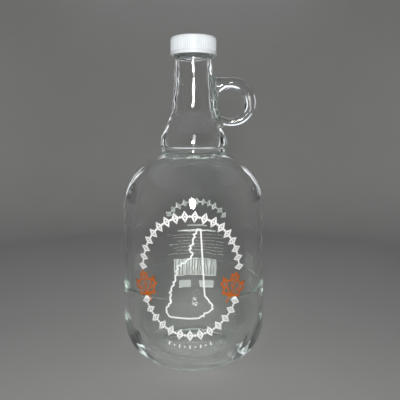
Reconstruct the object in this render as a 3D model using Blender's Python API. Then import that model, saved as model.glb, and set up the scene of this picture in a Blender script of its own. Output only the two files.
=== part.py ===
"""One-litre glass syrup jug with a finger loop on its neck, closed by a ribbed screw cap.

The jug is one piece of glass: a round foot, a straight body, a domed shoulder, a flared neck with the
loop moulded on, and a threaded finish that the cap screws over.  +Z is up, the origin is the middle of
the bearing ring, and +X points at the loop.  Sizes are written in millimetres and built in metres.
"""
import math

import bmesh
import bpy
from mathutils import Vector

MM = 0.001                 # one millimetre, in metres
SEGMENTS = 44              # facets round the glass
WALL_GAP = 0.3             # air kept between the glass and the cap

# ---- the glass, outside -------------------------------------------------------------------------
BODY_RADIUS = 52.0         # straight part of the body
FOOT_RADIUS = 53.0         # thicker band below the ledge
LEDGE_Z = 58.6             # top of the step from the body out to the foot band
LEDGE_DEPTH = 0.8          # how far the step stands out at once; the rest is a slow taper
FOOT_TAPER_Z = 50.0        # the foot band has its full radius from here down
HEEL_WIDTH = 23.1          # the heel is a quarter ellipse, this wide
HEEL_HEIGHT = 29.3         # and this high
BEARING_WIDTH = 3.0        # flat ring that the jug stands on
KICK_HEIGHT = 3.5          # how far the underside is pushed up at its middle
KICK_RINGS = (0.45, 0.8)   # rings of that dome, as shares of its radius

SHOULDER_Z = 113.6         # the straight body ends and the shoulder arc starts
SHOULDER_RADIUS = 42.3     # radius of that arc
GROOVE_RADIUS = 23.5       # narrow ring-shaped groove between shoulder and neck
GROOVE_Z = 157.2           # top of the groove
BEAD_RADIUS = 24.7         # rounded bead above the groove, at its widest
BEAD_Z = 160.4             # height of that widest ring
FLARE_TOP_Z = 187.0        # the neck starts to flare below this height
FLARE_WIDTH = 7.1          # what the flare adds to the radius by the time it reaches the bead
NECK_TOP_Z = 220.4         # narrowest ring, just under the transfer bead
NECK_TOP_RADIUS = 13.5
NECK_TAPER = 0.068         # growth of the neck's radius for each millimetre down

TRANSFER_RADIUS = 15.05    # ring under the cap, which the moulding tongs hold
TRANSFER_Z = 222.5
TRANSFER_HALF = 1.8        # half of that ring's height
FINISH_RADIUS = 13.3       # plain wall that carries the thread
LIP_Z = 233.2              # top of the glass
LIP_ROUND = 0.9            # rounding of the lip
THREAD_RADIUS = 0.75       # the thread is a round ridge, half sunk in the wall
THREAD_PITCH = 3.2
THREAD_TURNS = 1.3
THREAD_START_Z = 226.2
THREAD_STEPS = 24          # points in each turn
THREAD_RUN_IN = 3.0        # steps over which an end sinks into the wall
THREAD_SINK = 1.0          # and how deep it sinks

# ---- the glass, inside --------------------------------------------------------------------------
BODY_WALL = 3.1            # wall of the body, shoulder and neck
BORE_RADIUS = 10.8         # inside of the finish
FLOOR_Z = 7.0              # lowest ring of the inside
INNER_HEEL_WIDTH = 19.5
INNER_HEEL_HEIGHT = 27.0
FLOOR_RISE = 2.5           # the floor follows the pushed-up underside
FLOOR_RING = 0.6           # one ring of the floor, as a share of its radius
INNER_NECK_RADIUS = 20.4   # the inside of the shoulder ends here and the neck starts
BORE_START_Z = 212.4       # the neck's taper has reached the bore
CUT_PAST = 5.0             # how far the cutter runs out through the mouth

# ---- the finger loop ----------------------------------------------------------------------------
LOOP_X = 28.1              # middle of the loop's outline
LOOP_Z = 190.0
LOOP_OUTER_RADIUS = 17.6
HOLE_X = 26.9              # the finger hole is nearer to the neck, and a little lower
HOLE_Z = 188.9
HOLE_RADIUS = 10.5
ARM_START_X = 6.0          # inner end of the level arm, inside the neck
ARM_EASE = 0.98            # the arm is a hair thinner than the ring, so that their surfaces cross cleanly
LOOP_STEPS = 30
ROD_STEPS = 12
FILLET = 4.0               # reach of the soft joint between rod and neck
JOINT_LOW_Z = 165.0        # the joint lies between these heights
JOINT_HIGH_Z = 216.4
JOINT_DEPTH = 1.0          # vertices deeper in the glass than this belong to the inside

# ---- the cap ------------------------------------------------------------------------------------
CAP_TOP_Z = 235.1
CAP_BOTTOM_Z = 222.5
CAP_RADIUS = 16.4          # crests of the ribs
RIB_DEPTH = 0.3
RIB_COUNT = 76
BAND_RADIUS = 16.6         # plain band round the open end
BAND_HEIGHT = 1.7
BAND_STEP = 0.25           # slope from the band in to the ribs
CAP_ROUND = 1.5            # rounding of the top edge
CAP_INNER_RADIUS = 15.4
RING_TOLERANCE = 0.05      # a vertex this near to a ring is on it


def clear_scene():
    for obj in list(bpy.data.objects):
        bpy.data.objects.remove(obj)


def make_material(name, colour, roughness, alpha=1.0, transmission=0.0):
    material = bpy.data.materials.new(name)
    material.use_nodes = True
    shader = material.node_tree.nodes["Principled BSDF"]
    shader.inputs["Base Color"].default_value = (*colour, 1.0)
    shader.inputs["Roughness"].default_value = roughness
    shader.inputs["Metallic"].default_value = 0.0
    shader.inputs["Alpha"].default_value = alpha
    shader.inputs["Transmission Weight"].default_value = transmission
    return material


def smoothstep(start, end, value):
    """0 at start, 1 at end, with a level run-in at both."""
    t = min(max((value - start) / (end - start), 0.0), 1.0)
    return t * t * (3.0 - 2.0 * t)


def ellipse_arc(centre_r, centre_z, half_width, half_height, first, last, steps):
    """Points on an ellipse from angle first to angle last, in degrees, both ends included."""
    points = []
    for i in range(steps + 1):
        angle = math.radians(first + (last - first) * i / steps)
        points.append((centre_r + half_width * math.cos(angle), centre_z + half_height * math.sin(angle)))
    return points


# The shoulder arc is centred inside the body, so that it leaves the straight side without a corner.
SHOULDER_CENTRE = BODY_RADIUS - SHOULDER_RADIUS

# The rod of the loop runs midway between the two circles, so it is thickest where they are furthest apart.
ROD_X = (LOOP_X + HOLE_X) / 2
ROD_Z = (LOOP_Z + HOLE_Z) / 2
ROD_PATH_RADIUS = (LOOP_OUTER_RADIUS + HOLE_RADIUS) / 2
ROD_MEAN_RADIUS = (LOOP_OUTER_RADIUS - HOLE_RADIUS) / 2
ARM_RADIUS = ROD_MEAN_RADIUS + (LOOP_Z - HOLE_Z) / 2
ARM_Z = LOOP_Z + LOOP_OUTER_RADIUS - ARM_RADIUS


def rod_radius(angle):
    """Radius of the glass rod at an angle round the loop, counted from +X towards +Z."""
    return ROD_MEAN_RADIUS + ((LOOP_X - HOLE_X) * math.cos(angle) + (LOOP_Z - HOLE_Z) * math.sin(angle)) / 2


def shoulder_end(radius, wall):
    """Angle in degrees at which the shoulder, less a wall, has come in to a radius."""
    return math.degrees(math.acos((radius - SHOULDER_CENTRE) / (SHOULDER_RADIUS - wall)))


def neck_radius(z):
    """Outer radius of the neck: a slight taper, with the flare added below it."""
    taper = NECK_TOP_RADIUS + NECK_TAPER * (NECK_TOP_Z - z)
    return taper + FLARE_WIDTH * smoothstep(FLARE_TOP_Z, BEAD_Z, z)


def spaced(first, last, steps):
    """Evenly spaced heights from first to last, without the first."""
    return [first + (last - first) * i / steps for i in range(1, steps + 1)]


def outer_profile():
    """(radius, height) of the outside, from the middle of the underside up to the middle of the lip."""
    bearing_outer = FOOT_RADIUS - HEEL_WIDTH
    bearing_inner = bearing_outer - BEARING_WIDTH
    points = [(0.0, KICK_HEIGHT)]
    for share in KICK_RINGS:
        points.append((bearing_inner * share, KICK_HEIGHT * (1.0 - share ** 2)))
    points.append((bearing_inner, 0.0))
    points += ellipse_arc(bearing_outer, HEEL_HEIGHT, HEEL_WIDTH, HEEL_HEIGHT, -90.0, 0.0, 6)
    points.append((FOOT_RADIUS, FOOT_TAPER_Z))
    points.append((BODY_RADIUS + LEDGE_DEPTH, LEDGE_Z - LEDGE_DEPTH))
    points.append((BODY_RADIUS, LEDGE_Z))
    points += ellipse_arc(SHOULDER_CENTRE, SHOULDER_Z, SHOULDER_RADIUS, SHOULDER_RADIUS,
                          0.0, shoulder_end(GROOVE_RADIUS, 0.0), 8)
    points.append((GROOVE_RADIUS, GROOVE_Z))
    bead_half = BEAD_Z - GROOVE_Z
    points += ellipse_arc(GROOVE_RADIUS, BEAD_Z, BEAD_RADIUS - GROOVE_RADIUS, bead_half, -60.0, 0.0, 2)
    for z in spaced(BEAD_Z, FLARE_TOP_Z, 8) + spaced(FLARE_TOP_Z, NECK_TOP_Z, 6):
        points.append((neck_radius(z), z))
    points += ellipse_arc(FINISH_RADIUS, TRANSFER_Z, TRANSFER_RADIUS - FINISH_RADIUS, TRANSFER_HALF,
                          -50.0, 90.0, 4)
    points += ellipse_arc(FINISH_RADIUS - LIP_ROUND, LIP_Z - LIP_ROUND, LIP_ROUND, LIP_ROUND, 0.0, 90.0, 3)
    points.append((0.0, LIP_Z))
    return points


def cavity_profile():
    """(radius, height) of the inside, from the middle of the floor up past the open mouth."""
    body = BODY_RADIUS - BODY_WALL
    floor_edge = body - INNER_HEEL_WIDTH
    points = [(0.0, FLOOR_Z + FLOOR_RISE), (floor_edge * FLOOR_RING, FLOOR_Z + FLOOR_RISE * FLOOR_RING)]
    points += ellipse_arc(floor_edge, FLOOR_Z + INNER_HEEL_HEIGHT, INNER_HEEL_WIDTH, INNER_HEEL_HEIGHT,
                          -90.0, 0.0, 6)
    points += ellipse_arc(SHOULDER_CENTRE, SHOULDER_Z, SHOULDER_RADIUS - BODY_WALL,
                          SHOULDER_RADIUS - BODY_WALL, 0.0, shoulder_end(INNER_NECK_RADIUS, BODY_WALL), 6)
    for z in spaced(BEAD_Z, FLARE_TOP_Z, 5):
        points.append((neck_radius(z) - BODY_WALL, z))
    points += [(BORE_RADIUS, BORE_START_Z), (BORE_RADIUS, LIP_Z + CUT_PAST), (0.0, LIP_Z + CUT_PAST)]
    return points


def revolve(name, points, segments=SEGMENTS):
    """A closed solid of revolution about Z, from a profile that starts and ends on the axis."""
    bm = bmesh.new()
    verts = [bm.verts.new((radius * MM, 0.0, z * MM)) for radius, z in points]
    edges = [bm.edges.new(pair) for pair in zip(verts, verts[1:])]
    bmesh.ops.spin(bm, geom=verts + edges, cent=(0, 0, 0), axis=(0, 0, 1), dvec=(0, 0, 0),
                   angle=math.tau, steps=segments, use_merge=True)
    bmesh.ops.remove_doubles(bm, verts=bm.verts, dist=1e-6)
    bmesh.ops.recalc_face_normals(bm, faces=bm.faces)
    return add_object(name, bm)


def add_object(name, bm):
    mesh = bpy.data.meshes.new(name)
    bm.to_mesh(mesh)
    bm.free()
    obj = bpy.data.objects.new(name, mesh)
    bpy.context.scene.collection.objects.link(obj)
    return obj


def make_loop():
    """The full ring of glass rod, standing in the XZ plane; its near side is sunk in the neck."""
    bpy.ops.mesh.primitive_torus_add(
        rotation=(math.pi / 2, 0.0, 0.0), major_radius=ROD_PATH_RADIUS, minor_radius=ROD_MEAN_RADIUS,
        major_segments=LOOP_STEPS, minor_segments=ROD_STEPS)
    bpy.ops.object.transform_apply(location=False, rotation=True, scale=False)
    loop = bpy.context.active_object
    loop.name = "loop_ring"
    for vertex in loop.data.vertices:
        angle = math.atan2(vertex.co.z, vertex.co.x)
        path = Vector((math.cos(angle), 0.0, math.sin(angle))) * ROD_PATH_RADIUS
        across = (vertex.co - path) * (rod_radius(angle) / ROD_MEAN_RADIUS)
        vertex.co = (path + across + Vector((ROD_X, 0.0, ROD_Z))) * MM
    return loop


def make_arm():
    """Level arm that carries the top of the ring into the neck."""
    length = LOOP_X - ARM_START_X
    bpy.ops.mesh.primitive_cylinder_add(
        vertices=ROD_STEPS, radius=ARM_RADIUS * ARM_EASE * MM, depth=length * MM,
        location=((ARM_START_X + length / 2) * MM, 0.0, ARM_Z * MM), rotation=(0.0, math.pi / 2, 0.0))
    arm = bpy.context.active_object
    arm.name = "loop_arm"
    return arm


def make_thread():
    """The glass thread: a round ridge that winds up the finish, with its ends sunk in the wall."""
    curve = bpy.data.curves.new("thread", "CURVE")
    curve.dimensions = "3D"
    curve.bevel_depth = THREAD_RADIUS * MM
    curve.bevel_resolution = 0
    curve.use_fill_caps = True
    steps = round(THREAD_STEPS * THREAD_TURNS)
    spline = curve.splines.new("POLY")
    spline.points.add(steps)
    for i, point in enumerate(spline.points):
        turn = THREAD_TURNS * i / steps
        sunk = max(0.0, 1.0 - min(i, steps - i) / THREAD_RUN_IN)
        radius = FINISH_RADIUS - THREAD_SINK * sunk
        point.co = (radius * math.cos(turn * math.tau) * MM, radius * math.sin(turn * math.tau) * MM,
                    (THREAD_START_Z + THREAD_PITCH * turn) * MM, 1.0)
    obj = bpy.data.objects.new("thread", curve)
    bpy.context.scene.collection.objects.link(obj)
    mesh = bpy.data.meshes.new_from_object(obj.evaluated_get(bpy.context.evaluated_depsgraph_get()))
    bpy.data.objects.remove(obj)
    solid = bpy.data.objects.new("thread", mesh)
    bpy.context.scene.collection.objects.link(solid)
    return solid


def combine(target, other, operation):
    """Apply one exact Boolean to target and delete the other solid."""
    modifier = target.modifiers.new(operation.lower(), "BOOLEAN")
    modifier.object = other
    modifier.operation = operation
    modifier.solver = "EXACT"
    bpy.context.view_layer.objects.active = target
    bpy.ops.object.modifier_apply(modifier=modifier.name)
    bpy.data.objects.remove(other)


def blend(a, b, reach):
    """Soft minimum of two distances: the sharp corner where they meet becomes a fillet."""
    overlap = max(reach - abs(a - b), 0.0) / reach
    return min(a, b) - overlap * overlap * reach / 4.0


def neck_distance(point):
    """Distance in millimetres from the outside of the neck, less inside it."""
    slope = (neck_radius(point.z - 0.5) - neck_radius(point.z + 0.5))
    return (math.hypot(point.x, point.y) - neck_radius(point.z)) / math.hypot(1.0, slope)


def loop_distance(point):
    """Distance in millimetres from the ring and its arm, less inside them."""
    x, z = point.x - ROD_X, point.z - ROD_Z
    ring = math.hypot(math.hypot(x, z) - ROD_PATH_RADIUS, point.y) - rod_radius(math.atan2(z, x))
    beyond = max(point.x - LOOP_X, ARM_START_X - point.x, 0.0)
    arm = Vector((beyond, point.y, point.z - ARM_Z)).length - ARM_RADIUS
    return min(ring, arm)


def joined_distance(point):
    return blend(neck_distance(point), loop_distance(point), FILLET)


def soften_joint(jug):
    """Draw the sharp seam between loop and neck out into a fillet.

    Every outer vertex near the seam is walked up the blended distance field until it lies on it.
    """
    reach = 0.5
    steps = [Vector((reach, 0, 0)), Vector((0, reach, 0)), Vector((0, 0, reach))]
    for vertex in jug.data.vertices:
        point = vertex.co / MM
        near = max(neck_distance(point), loop_distance(point)) < FILLET
        outer = min(neck_distance(point), loop_distance(point)) > -JOINT_DEPTH
        if not (near and outer and JOINT_LOW_Z < point.z < JOINT_HIGH_Z):
            continue
        for _ in range(6):
            height = joined_distance(point)
            gradient = Vector([joined_distance(point + step) - joined_distance(point - step)
                               for step in steps]) / (2 * reach)
            point -= gradient * (height / max(gradient.length_squared, 0.1))
        vertex.co = point * MM


def smooth_shading(obj, degrees=30.0):
    obj.data.shade_smooth()
    obj.data.set_sharp_from_angle(angle=math.radians(degrees))


def make_jug():
    jug = revolve("jug", outer_profile())
    combine(jug, make_loop(), "UNION")
    combine(jug, make_arm(), "UNION")
    combine(jug, make_thread(), "UNION")
    combine(jug, revolve("cavity", cavity_profile()), "DIFFERENCE")
    soften_joint(jug)
    smooth_shading(jug)
    jug.data.materials.clear()
    jug.data.materials.append(make_material("flint_glass", (0.80, 0.84, 0.82), 0.04, 0.35, 1.0))
    return jug


def cap_profile():
    """(radius, height, ribbed) of the cap's wall, from the underside of its top round to its top."""
    top = CAP_TOP_Z - CAP_ROUND
    band_top = CAP_BOTTOM_Z + BAND_HEIGHT
    points = [(0.0, LIP_Z + WALL_GAP, False), (CAP_INNER_RADIUS, LIP_Z + WALL_GAP, False),
              (CAP_INNER_RADIUS, CAP_BOTTOM_Z, False), (BAND_RADIUS, CAP_BOTTOM_Z, False),
              (BAND_RADIUS, band_top, False), (CAP_RADIUS, band_top + BAND_STEP, True),
              (CAP_RADIUS, top, True)]
    edge = ellipse_arc(CAP_RADIUS - CAP_ROUND, top, CAP_ROUND, CAP_ROUND, 30.0, 90.0, 2)
    points += [(radius, z, False) for radius, z in edge]
    points.append((0.0, CAP_TOP_Z, False))
    return points


def make_cap():
    """The cap is turned like the jug, then every other line of vertices is pushed in between the ribs."""
    profile = cap_profile()
    cap = revolve("cap", [(radius, z) for radius, z, _ in profile], RIB_COUNT * 2)
    ribbed = [z for _, z, is_ribbed in profile if is_ribbed]
    for vertex in cap.data.vertices:
        radius = math.hypot(vertex.co.x, vertex.co.y) / MM
        z = vertex.co.z / MM
        on_wall = radius > CAP_RADIUS - RING_TOLERANCE
        on_ribs = on_wall and min(ribbed) - RING_TOLERANCE < z < max(ribbed) + RING_TOLERANCE
        line = round(math.atan2(vertex.co.y, vertex.co.x) / math.tau * RIB_COUNT * 2)
        if on_ribs and line % 2:
            scale = (radius - RIB_DEPTH) / radius
            vertex.co.x *= scale
            vertex.co.y *= scale
    smooth_shading(cap, 25.0)
    cap.data.materials.append(make_material("cap_polypropylene", (0.86, 0.87, 0.88), 0.38))
    return cap


clear_scene()
make_jug()
make_cap()
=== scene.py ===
# %% [markdown]
# # A one-litre glass jug with a screw cap
# The jug is one piece of clear soda-lime glass, blown in a mould: foot, straight body, domed shoulder,
# flared neck and a small finger loop. A white screw cap closes it, and a decoration is fired onto the
# outside in white and orange enamel.
#
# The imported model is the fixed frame. It gives the place and size of the jug and of the cap, and every
# piece made here is drawn round those, in metres, with +Z up, the loop towards +X and the front at -Y.
# %% Load the frame
import math

import bmesh
import bpy
import numpy as np
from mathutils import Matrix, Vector


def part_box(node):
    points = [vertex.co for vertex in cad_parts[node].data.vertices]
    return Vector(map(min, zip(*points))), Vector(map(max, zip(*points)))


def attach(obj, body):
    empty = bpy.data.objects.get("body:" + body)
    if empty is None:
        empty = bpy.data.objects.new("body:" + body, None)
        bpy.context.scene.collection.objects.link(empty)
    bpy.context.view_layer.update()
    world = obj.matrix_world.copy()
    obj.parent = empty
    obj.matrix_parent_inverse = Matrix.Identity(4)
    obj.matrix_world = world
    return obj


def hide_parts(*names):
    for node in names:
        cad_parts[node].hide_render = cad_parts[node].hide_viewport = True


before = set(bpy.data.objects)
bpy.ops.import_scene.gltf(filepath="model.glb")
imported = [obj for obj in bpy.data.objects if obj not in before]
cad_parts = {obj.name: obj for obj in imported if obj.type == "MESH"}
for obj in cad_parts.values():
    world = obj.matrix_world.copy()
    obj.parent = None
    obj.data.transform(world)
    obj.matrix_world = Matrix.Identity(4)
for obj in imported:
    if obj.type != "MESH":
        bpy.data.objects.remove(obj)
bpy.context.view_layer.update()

jug_low, jug_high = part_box("jug")
cap_low, cap_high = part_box("cap")
MM = 0.001                        # sizes below are millimetres, and Blender's unit is the metre
print("jug", [round(side / MM, 1) for side in jug_high - jug_low], "mm")
print("cap", [round(side / MM, 1) for side in cap_high - cap_low], "mm")

# %% [markdown]
# ## Small helpers
# Blender's operators act on whatever is selected, so each step starts from nothing selected and names
# the one object that it works on. In edit mode, vertices and faces are then picked by where they are.
# %% Selecting objects and parts of a mesh
SAME_PLACE = 0.02                 # two points this near each other count as one place


def deselect_all():
    """Selects nothing."""
    bpy.ops.object.select_all(action="DESELECT")


def make_active(obj):
    """Selects this object alone."""
    deselect_all()
    obj.select_set(True)
    bpy.context.view_layer.objects.active = obj


def edit(obj):
    """Opens one object in edit mode with nothing selected."""
    make_active(obj)
    bpy.ops.object.mode_set(mode="EDIT")
    bpy.ops.mesh.select_all(action="DESELECT")


def leave_edit():
    """Closes edit mode, which writes the changes into the mesh."""
    bpy.ops.object.mode_set(mode="OBJECT")


def pick_verts(obj, test):
    """In edit mode: selects only the vertices whose place (in millimetres) passes, and counts them."""
    bpy.ops.mesh.select_all(action="DESELECT")
    bpy.ops.mesh.select_mode(type="VERT")
    cage = bmesh.from_edit_mesh(obj.data)
    for vert in cage.verts:
        vert.select = bool(test(vert.co / MM))
    cage.select_flush(True)
    bmesh.update_edit_mesh(obj.data)
    return sum(vert.select for vert in cage.verts)


def apply_all(obj):
    """Writes the object's place, turn and size into its mesh, so that it sits at the origin."""
    make_active(obj)
    bpy.ops.object.transform_apply(location=True, rotation=True, scale=True)


def apply_modifier(obj, modifier):
    """Writes what a modifier does into the object's mesh."""
    make_active(obj)
    bpy.ops.object.modifier_apply(modifier=modifier.name)


def join(objects, name):
    """Joins several objects into one."""
    deselect_all()
    for obj in objects:
        obj.select_set(True)
    bpy.context.view_layer.objects.active = objects[0]
    bpy.ops.object.join()
    joined = bpy.context.active_object
    joined.name = name
    return joined


def triangles(obj):
    """How many triangles the object's faces come to."""
    return sum(len(face.vertices) - 2 for face in obj.data.polygons)


# %% [markdown]
# ## The camera
# The camera stands about a third of a metre away, level with the flared neck, and looks down by eight
# degrees. The jug's axis lies slightly left of the picture's middle, so the camera is turned by less
# than a degree. The lens is worked out from the focal length in pixels of a picture 400 pixels wide.
# %% Place the camera
CAMERA_DISTANCE = 349.5
CAMERA_HEIGHT = 167.9
CAMERA_DOWN = 8.12                # degrees below the horizon
CAMERA_TURN = 0.77                # degrees towards +X
PICTURE_PIXELS = 400.0
FOCAL_PIXELS = 470.6
SENSOR = 36.0                     # millimetres, the width of a full-frame sensor

bpy.ops.object.camera_add(
    location=(0.0, -CAMERA_DISTANCE * MM, CAMERA_HEIGHT * MM),
    rotation=(math.radians(90.0 - CAMERA_DOWN), 0.0, math.radians(-CAMERA_TURN)))
camera = bpy.context.active_object
camera.name = "camera"
camera.data.sensor_width = SENSOR
camera.data.lens = SENSOR * FOCAL_PIXELS / PICTURE_PIXELS
bpy.context.scene.camera = camera
print("lens", round(camera.data.lens, 2), "mm")

# %% [markdown]
# ## Materials are made from nodes
# One function adds a node with its settings and links, and one turns hex colours, as on a paint chart,
# into the linear numbers that a shader wants. Patterns read Object coordinates, which are metres here
# because every piece sits at the origin unscaled, so a pattern's scale is one over its size in metres.
# %% Node helpers


def linear(hex_colour):
    """An sRGB hex colour as linear RGBA."""
    channels = [int(hex_colour[i:i + 2], 16) / 255.0 for i in (1, 3, 5)]
    curved = [c / 12.92 if c <= 0.04045 else ((c + 0.055) / 1.055) ** 2.4 for c in channels]
    return (*curved, 1.0)


def add_node(tree, kind, links=None, values=None, **settings):
    """Adds a node, sets its properties and socket values, and links sockets from other nodes' outputs."""
    node = tree.nodes.new(kind)
    for name, value in settings.items():
        setattr(node, name, value)
    for socket, value in (values or {}).items():
        node.inputs[socket].default_value = value
    for socket, source in (links or {}).items():
        tree.links.new(source, node.inputs[socket])
    return node


def new_material(name):
    """A material with a Principled shader and an output, and the place on the surface for patterns."""
    material = bpy.data.materials.new(name)
    material.use_nodes = True
    tree = material.node_tree
    tree.nodes.clear()
    shader = add_node(tree, "ShaderNodeBsdfPrincipled")
    output = add_node(tree, "ShaderNodeOutputMaterial", {"Surface": shader.outputs["BSDF"]})
    place = add_node(tree, "ShaderNodeTexCoord").outputs["Object"]
    return material, tree, shader, output, place


def per_mm(size):
    """The scale of a pattern whose features are this many millimetres apart."""
    return 1.0 / (size * MM)


# %% [markdown]
# ## The stage
# The jug stands on a plain pale grey floor whose edge curves up into a wall all round, like a studio
# cove, so that it looks the same from every side. It is a circle with its rim extruded up and bevelled.
# %% Floor and wall in one sweep
STAGE_RADIUS = 620.0
STAGE_HEIGHT = 600.0
STAGE_BEND = 180.0
STAGE_BEND_STEPS = 16
STAGE_SIDES = 96

deselect_all()
bpy.ops.mesh.primitive_circle_add(vertices=STAGE_SIDES, radius=STAGE_RADIUS * MM, fill_type="NGON")
stage = bpy.context.active_object
stage.name = "floor"
edit(stage)
bpy.ops.mesh.select_all(action="SELECT")
bpy.ops.mesh.region_to_loop()
bpy.ops.mesh.extrude_edges_move(TRANSFORM_OT_translate={"value": (0.0, 0.0, STAGE_HEIGHT * MM)})
pick_verts(stage, lambda p: p.z < 1.0)
bpy.ops.mesh.select_mode(type="EDGE")
bpy.ops.mesh.bevel(offset=STAGE_BEND * MM, segments=STAGE_BEND_STEPS, affect="EDGES")
leave_edit()
make_active(stage)
bpy.ops.object.shade_smooth()
print("stage", triangles(stage), "triangles")

# %% [markdown]
# Matt wall paint put on with a roller is never one even grey. A wide, faint mottle between two near
# shades shows that, and keeps the large plain sweep from looking like a flat fill.
# %% Paint the stage
STAGE_DARK = "#A9A8A5"
STAGE_LIGHT = "#AEADAB"
MOTTLE_SIZE = 60.0

stage_paint, tree, shader, output, place = new_material("matt_stage_paint")
mottle = add_node(tree, "ShaderNodeTexNoise", {"Vector": place},
                  {"Scale": per_mm(MOTTLE_SIZE), "Detail": 3.0})
shade = add_node(tree, "ShaderNodeMix", {"Factor": mottle.outputs["Fac"]}, data_type="RGBA")
shade.inputs["A"].default_value = linear(STAGE_DARK)
shade.inputs["B"].default_value = linear(STAGE_LIGHT)
tree.links.new(shade.outputs["Result"], shader.inputs["Base Color"])
shader.inputs["Roughness"].default_value = 0.75
stage.data.materials.append(stage_paint)
print("stage painted with", stage_paint.name)

# %% [markdown]
# ## The light
# Glass shows what is around it more than what falls on it. A tall oval softbox behind and above the
# camera lights the stage and leaves small bright reflections on the shoulder. A second lamp behind the
# jug lights the cap and the prints from the rear. The glass itself isn't meant to show that lamp, so it
# is hidden from the rays that pass through or bounce off glass.
# %% Add the softboxes
LAMP_SPREAD = 150.0               # degrees: less than a bare lamp's 180, so less light grazes the wall


def softbox(name, place, target, size, watts):
    """An oval area light at a place, aimed at a target, both in millimetres."""
    deselect_all()
    place, target = Vector(place) * MM, Vector(target) * MM
    bpy.ops.object.light_add(type="AREA", location=place)
    lamp = bpy.context.active_object
    lamp.name = name
    lamp.data.shape = "ELLIPSE"
    lamp.data.size = size[0] * MM
    lamp.data.size_y = size[1] * MM
    lamp.data.spread = math.radians(LAMP_SPREAD)
    lamp.data.energy = watts
    lamp.rotation_euler = (target - place).to_track_quat("-Z", "Y").to_euler()
    lamp.visible_camera = False
    return lamp


front_softbox = softbox(
    "front_softbox", place=(-16.0, -560.0, 278.0), target=(0.0, 0.0, 150.0), size=(105.0, 205.0), watts=1.95)
rear_fill = softbox(
    "rear_fill", place=(-140.0, 500.0, 330.0), target=(0.0, 0.0, 110.0), size=(220.0, 220.0), watts=1.7)
rear_fill.visible_transmission = False
rear_fill.visible_glossy = False
print("lamps", [(lamp.name, round(lamp.data.energy, 2)) for lamp in (front_softbox, rear_fill)], "W")

# %% [markdown]
# Clear glass on a pale ground has no outline of its own. In a studio, black cards stand to its left and
# right, just out of the picture, and the glass bends their dark into thin lines along its edges. Slim
# white cards nearer to the middle draw light lines beside the dark ones, and a wide white one high up
# behind the jug lights the groove, the neck and the loop. The camera and matt surfaces don't see these
# cards and they throw no shadow, so they show only in what is clear or glossy.
# %% Black and white cards
CARD_DISTANCE = 520.0
CARD_ROUGHNESS = 0.9
BLACK_CARD_COLOUR = "#303032"
WHITE_CARD_COLOUR = "#EDEDEB"
WHITE_CARD_LIGHT = "#F1F5FA"
WHITE_GLOW = 1.2
# Each card: width, heights of its two level edges, and degrees from straight behind
BLACK_CARD = (330.0, 110.0, 250.0, 62.0)
WHITE_CARD = (78.0, 110.0, 320.0, 35.0)
HIGH_CARD = (420.0, 400.0, 600.0, 0.0)


def stand_card(name, sizes, material, side=1.0):
    """An upright card that faces the jug, to the right (towards +X) or, with side -1, to the left."""
    width, low, high, degrees = sizes
    turn = math.radians(degrees) * side
    deselect_all()
    bpy.ops.mesh.primitive_plane_add(size=MM, rotation=(math.pi / 2, 0.0, -turn))
    card = bpy.context.active_object
    card.name = name
    card.scale = (width, high - low, 1.0)
    card.location = (CARD_DISTANCE * math.sin(turn) * MM, CARD_DISTANCE * math.cos(turn) * MM,
                     (high + low) / 2 * MM)
    apply_all(card)
    card.data.materials.append(material)
    card.visible_camera = False
    card.visible_diffuse = False
    card.visible_shadow = False
    return card


black_card, tree, shader, output, place = new_material("black_card")
shader.inputs["Base Color"].default_value = linear(BLACK_CARD_COLOUR)
shader.inputs["Roughness"].default_value = CARD_ROUGHNESS
# The white cards are painted light: they glow by their own emission, standing in for white cards lit by a
# lamp.
glowing_white_card, tree, shader, output, place = new_material("glowing_white_card")
shader.inputs["Base Color"].default_value = linear(WHITE_CARD_COLOUR)
shader.inputs["Roughness"].default_value = CARD_ROUGHNESS
shader.inputs["Emission Color"].default_value = linear(WHITE_CARD_LIGHT)
shader.inputs["Emission Strength"].default_value = WHITE_GLOW

cards = [stand_card("high_glowing_white_card", HIGH_CARD, glowing_white_card)]
for side, side_name in ((1.0, "right"), (-1.0, "left")):
    cards.append(stand_card(side_name + "_black_card", BLACK_CARD, black_card, side))
    cards.append(stand_card(side_name + "_glowing_white_card", WHITE_CARD, glowing_white_card, side))
print(len(cards), "cards at", CARD_DISTANCE, "mm")

# %% [markdown]
# Above the wall there is only the room, a dim bluish grey. It fills the shadows a little, and it is what
# the upper parts of the glass reflect.
# %% The dim room
ROOM_COLOUR = "#8E9196"
ROOM_STRENGTH = 0.8

world = bpy.data.worlds.new("dim_room")
bpy.context.scene.world = world
world.use_nodes = True
world.node_tree.nodes["Background"].inputs["Color"].default_value = linear(ROOM_COLOUR)
world.node_tree.nodes["Background"].inputs["Strength"].default_value = ROOM_STRENGTH
bpy.context.scene.view_settings.view_transform = "Standard"
print("room", world.name)

# %% [markdown]
# Light goes back and forth in thick glass. With Blender's usual limits it would be given up there after a
# dozen turns, and the heel and the neck would go black, so the limits on bounces are raised.
# %% Let light travel far in glass
ANY_BOUNCES = 128
THROUGH_GLASS_BOUNCES = 128
MIRROR_BOUNCES = 64

bpy.context.scene.cycles.max_bounces = ANY_BOUNCES
bpy.context.scene.cycles.transmission_bounces = THROUGH_GLASS_BOUNCES
bpy.context.scene.cycles.glossy_bounces = MIRROR_BOUNCES
print("bounces", ANY_BOUNCES, "through glass", THROUGH_GLASS_BOUNCES)

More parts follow.
